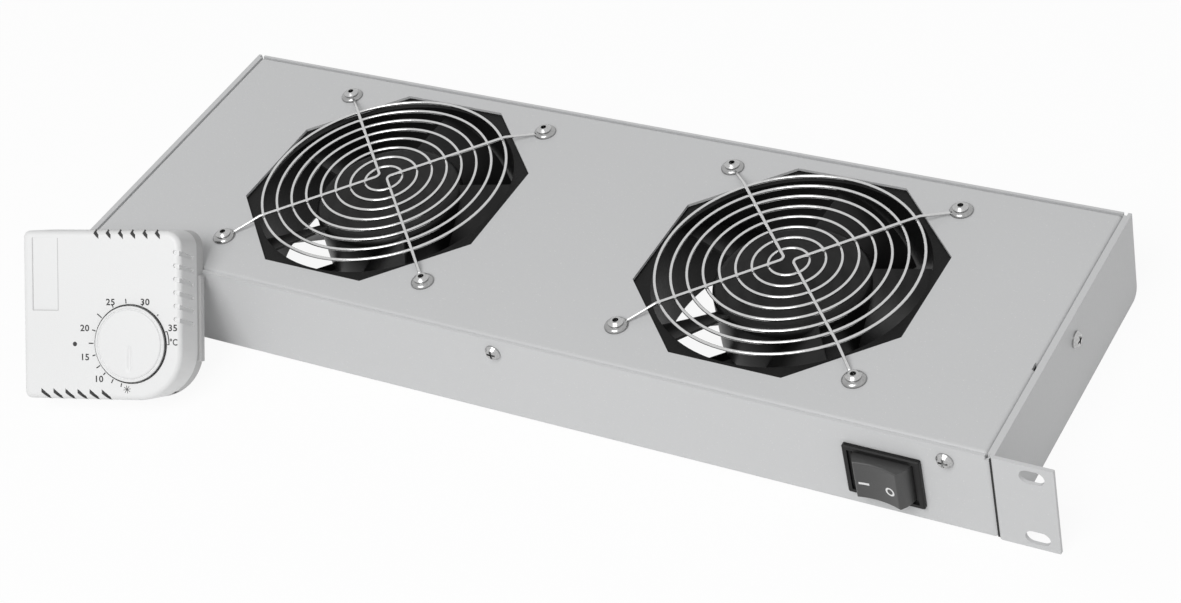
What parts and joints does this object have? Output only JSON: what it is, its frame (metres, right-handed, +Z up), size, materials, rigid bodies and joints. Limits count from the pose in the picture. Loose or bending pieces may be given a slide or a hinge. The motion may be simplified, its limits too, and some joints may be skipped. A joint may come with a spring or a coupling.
{
  "type": "rack fan tray",
  "caption": "Flat rack-mount fan tray in folded sheet metal: wire-guarded axial fans in its cover, a rocker switch in front, a mains inlet behind, and a room thermostat with a dial.",
  "frame": {"origin": "middle of the tray's underside", "axes": "+Z up out of the cover, +X along the tray to the right seen from the front, the front panel faces -Y"},
  "size_m": [0.4826, 0.2179, 0.0692],
  "materials": {
    "sheet_metal": "light grey powder coat, satin",
    "zinc": "zinc plated",
    "wire": "bright chrome plated wire",
    "rivet": "bare aluminium",
    "switch_black": "black, fine texture",
    "rocker": "dark grey, satin",
    "inlet_black": "black, fine texture",
    "tin": "tinned brass, bright",
    "rubber": "black",
    "nylon": "natural white",
    "stat_white": "white, satin",
    "bimetal": "bare strip",
    "fan_black": "black cast frame, satin",
    "rotor_black": "black moulded rotor",
    "winding": "laminated core with enamelled winding",
    "steel": "ground steel"
  },
  "bodies": {
    "tray": {"chassis": "sheet_metal", "cover_screws": "zinc", "earth_nut": "zinc", "earth_stud": "zinc", "fan_bearings_left": "steel", "fan_bearings_right": "steel", "fan_frame_left": "fan_black", "fan_frame_right": "fan_black", "fan_spider_left": "fan_black", "fan_spider_right": "fan_black", "fan_stator_left": "winding", "fan_stator_right": "winding", "fan_terminals_left": "tin", "fan_terminals_right": "tin", "finger_guard_left": "wire", "finger_guard_right": "wire", "guard_rivets_left": "rivet", "guard_rivets_right": "rivet", "inlet_pins": "tin", "inlet_screws": "zinc", "lead_grommet": "rubber", "power_inlet": "inlet_black", "side_plate_left": "sheet_metal", "side_plate_right": "sheet_metal", "stat_base": "stat_white", "stat_bimetal": "bimetal", "stat_cover": "stat_white", "stat_switch": "switch_black", "stat_terminals": "nylon", "switch_housing": "switch_black", "switch_pin": "switch_black", "switch_terminals": "tin", "terminal_block": "nylon", "terminal_screws": "zinc", "top_cover": "sheet_metal"},
    "fan_left_rotor": {"fan_rotor_left": "rotor_black", "fan_shaft_left": "steel"},
    "fan_right_rotor": {"fan_rotor_right": "rotor_black", "fan_shaft_right": "steel"},
    "rocker": {"switch_rocker": "rocker"},
    "temperature_dial": {"stat_dial": "stat_white", "stat_spindle": "nylon"}
  },
  "joints": [
    {"name": "fan_left_spin", "type": "hinge", "parent": "tray", "child": "fan_left_rotor", "pos_m": [-0.0995, 0.0028, 0.0118], "axis": [0, 0, 1], "continuous": true},
    {"name": "fan_right_spin", "type": "hinge", "parent": "tray", "child": "fan_right_rotor", "pos_m": [0.0995, 0.0028, 0.0118], "axis": [0, 0, 1], "continuous": true},
    {"name": "switch_rock", "type": "hinge", "parent": "tray", "child": "rocker", "pos_m": [0.1723, -0.071, 0.0203], "axis": [0, 0, 1], "range_deg": [0, 8]},
    {"name": "temperature_dial_turn", "type": "hinge", "parent": "tray", "child": "temperature_dial", "pos_m": [-0.16079, -0.11324, 0.03265], "axis": [-0.212, 0.7494, -0.6273], "range_deg": [0, 252]}
  ]
}
